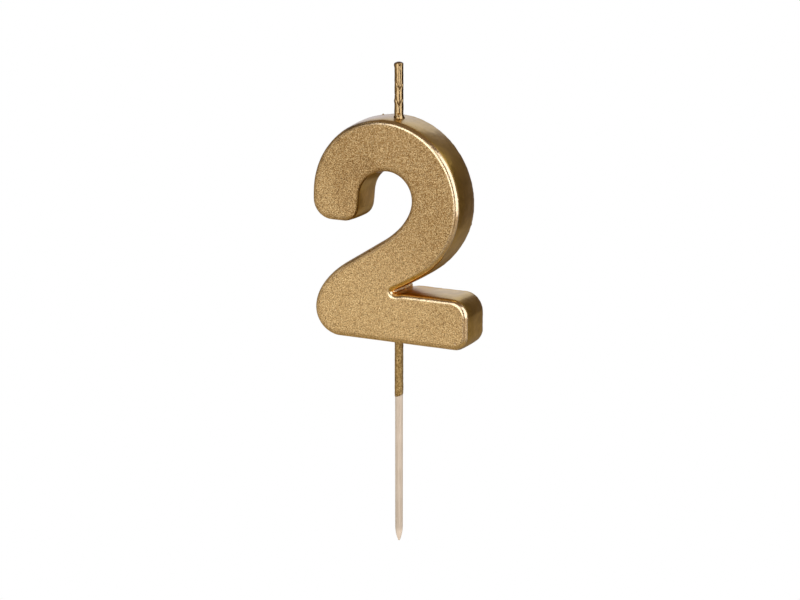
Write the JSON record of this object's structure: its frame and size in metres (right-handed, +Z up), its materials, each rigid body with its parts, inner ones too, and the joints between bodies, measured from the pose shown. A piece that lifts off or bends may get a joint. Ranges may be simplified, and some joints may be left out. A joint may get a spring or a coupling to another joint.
{
  "type": "number candle",
  "caption": "Flat moulded wax candle in the shape of the digit 2, gilt all over, with a stiff wick on top and a pointed wooden pick below for standing it in a cake.",
  "frame": {"origin": "on the axis of the pick and the wick, at the flat base of the numeral, in the middle of its thickness: the point where the pick enters the cake once the candle is pushed home", "axes": "+Z up along the pick and the wick, +X to the right as the numeral is read, +Y from the numeral's front face to its back"},
  "size_m": [0.0461, 0.0106, 0.1326],
  "materials": {
    "candle_wax": "plain cast paraffin wax, satin",
    "gilt_wax": "metallic gold dip, fine sandy sparkle on the face and satin on the side walls",
    "cotton_cord": "waxed cotton braid",
    "gilt_lacquer": "metallic gold dip, glossy over the braid",
    "pick_wood": "bare pale birch, turned smooth",
    "gilt_pick": "metallic gold dip, grainy and slightly wavy"
  },
  "bodies": {
    "root": {"numeral_core": "candle_wax", "numeral_skin": "gilt_wax", "wick_cord": "cotton_cord", "wick_coat": "gilt_lacquer", "pick": "pick_wood", "pick_coat": "gilt_pick"}
  },
  "joints": []
}
